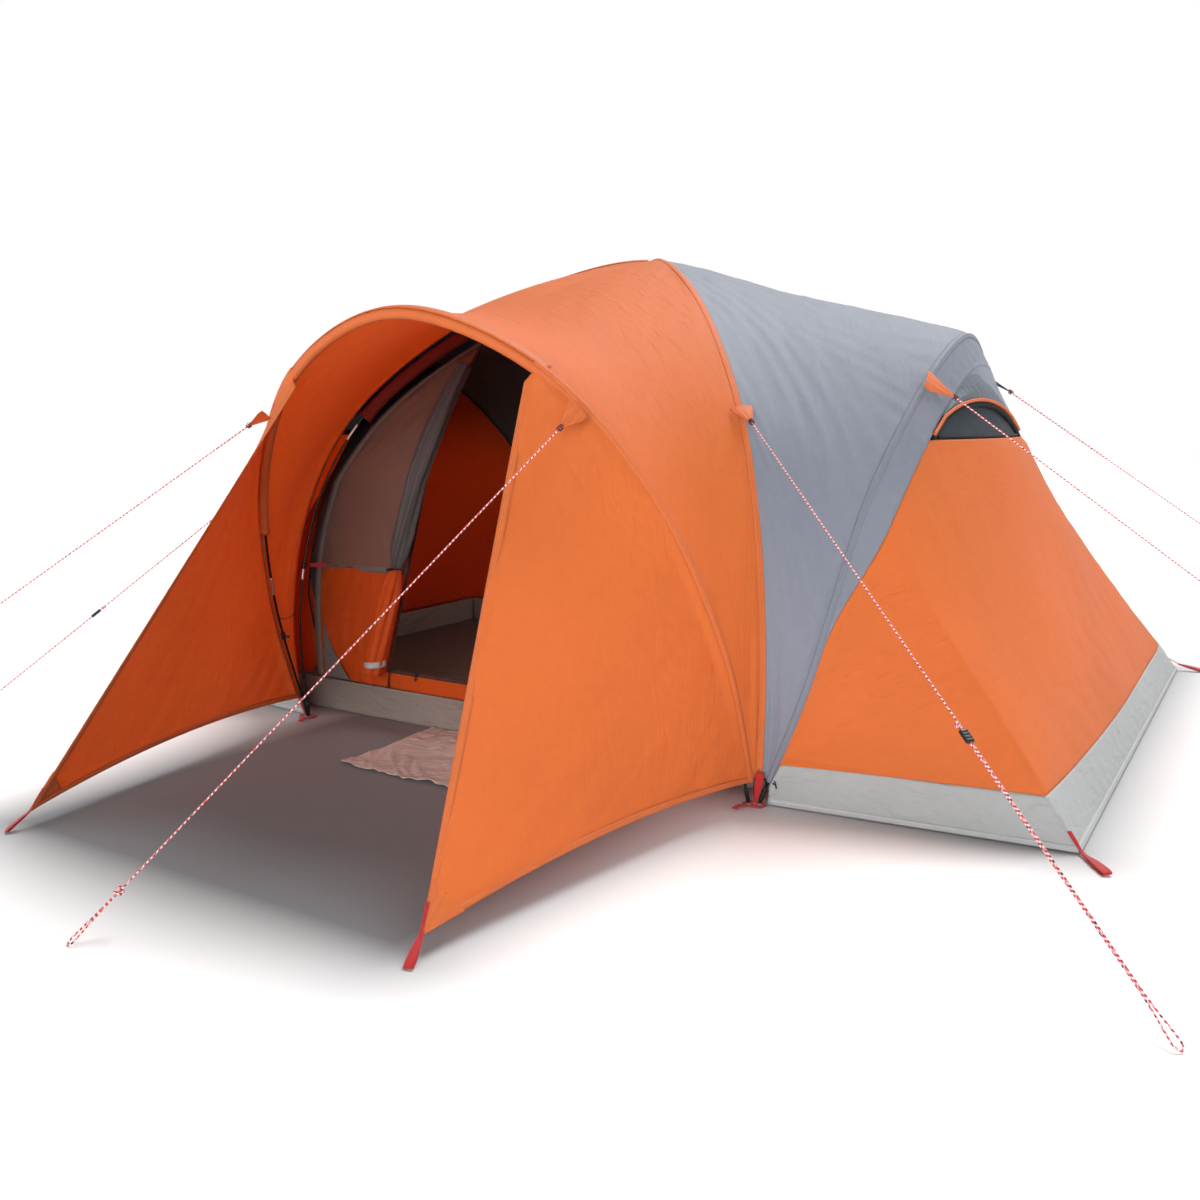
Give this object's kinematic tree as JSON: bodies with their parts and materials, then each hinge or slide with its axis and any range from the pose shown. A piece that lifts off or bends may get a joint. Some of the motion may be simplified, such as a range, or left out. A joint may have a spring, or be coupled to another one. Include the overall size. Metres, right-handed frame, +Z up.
{
  "type": "dome tent",
  "caption": "Pitched dome tent with crossed arch poles, a winged open porch, two side cabins, an inner tent with a bathtub floor, and guy lines.",
  "frame": {"origin": "on the ground at the middle of the pitched tent's footprint, its guy lines left out", "axes": "+X to the right of someone who looks at the porch; +Y from the porch to the rear; +Z up"},
  "size_m": [5.0433, 4.5466, 1.8369],
  "materials": {
    "fly_orange": "coated polyester fly cloth, fine plain weave, faint sheen",
    "fly_grey": "coated polyester fly cloth in blue grey, fine plain weave",
    "skirt": "pale grey coated polyester, stitched hem",
    "mesh": "dark no-see-um mesh",
    "inner_orange": "breathable polyester inner cloth",
    "inner_dark": "brown grey breathable inner cloth and mesh",
    "floor": "woven coated groundsheet, wrinkled",
    "mat": "light woven mat",
    "webbing": "red woven webbing",
    "webbing_black": "black woven webbing",
    "cord": "braided guy line, red and white with dark flecks",
    "cord_tie": "black elastic tie",
    "pole": "black wrapped fibreglass",
    "hardware": "moulded black plastic",
    "ferrule": "bright drawn tube"
  },
  "bodies": {
    "tent": {"corner_loop_front_left": "webbing", "corner_loop_front_right": "webbing", "corner_loop_rear_left": "webbing", "corner_loop_rear_right": "webbing", "door_mat": "mat", "door_roll": "inner_dark", "door_tie": "cord_tie", "fly_end_left": "fly_orange", "fly_end_right": "fly_orange", "fly_front": "fly_orange", "fly_rear": "fly_orange", "fly_side_left": "fly_grey", "fly_side_right": "fly_grey", "foot_plate_front_left": "webbing", "foot_plate_front_right": "webbing", "foot_plate_rear_left": "webbing", "foot_plate_rear_right": "webbing", "guy_line_cabin_right": "cord", "guy_line_mid_left": "cord", "guy_line_mid_right": "cord", "guy_line_porch_left": "cord", "guy_line_porch_right": "cord", "guy_line_rear_right": "cord", "guy_tab_cabin_left": "fly_orange", "guy_tab_cabin_right": "fly_orange", "guy_tab_mid_left": "fly_orange", "guy_tab_mid_right": "fly_orange", "guy_tab_porch_left": "fly_orange", "guy_tab_porch_right": "fly_orange", "guy_tab_rear_left": "webbing_black", "guy_tab_rear_right": "webbing_black", "inner_end_left": "inner_orange", "inner_end_right": "inner_orange", "inner_floor": "floor", "inner_rear": "inner_orange", "inner_side_left": "inner_dark", "inner_side_right": "inner_dark", "inner_sill": "inner_orange", "inner_wall_left": "inner_orange", "inner_wall_right": "inner_orange", "inner_wall_top": "mesh", "pole_cabin_left": "pole", "pole_cabin_right": "pole", "pole_main_left": "pole", "pole_main_right": "pole", "pole_porch": "pole", "skirt_left": "skirt", "skirt_right": "skirt", "vent_hood_left": "fly_grey", "vent_hood_right": "fly_grey", "vent_mesh_left": "mesh", "vent_mesh_right": "mesh", "wing_left": "fly_orange", "wing_loop_left": "webbing", "wing_loop_right": "webbing", "wing_right": "fly_orange"},
    "runner_right": {"guy_runner_mid_right": "hardware"},
    "runner_left": {"guy_runner_mid_left": "hardware"},
    "zip_slider": {"zip_slider": "hardware"},
    "zip_puller": {"zip_puller": "hardware"}
  },
  "joints": [
    {"name": "runner_right_slide", "type": "slide", "parent": "tent", "child": "runner_right", "axis": [0.667, -0.471, -0.5773], "range_m": [0, 0.4]},
    {"name": "runner_left_slide", "type": "slide", "parent": "tent", "child": "runner_left", "axis": [-0.5464, -0.5621, -0.6209], "range_m": [0, 0.4]},
    {"name": "zip_slide", "type": "slide", "parent": "tent", "child": "zip_slider", "axis": [1, 0, 0], "range_m": [0, 1.04]},
    {"name": "zip_puller_hinge", "type": "hinge", "parent": "zip_slider", "child": "zip_puller", "pos_m": [-0.52, -0.5957, 0.21], "axis": [-1, 0, 0], "range_deg": [0, 150]}
  ]
}
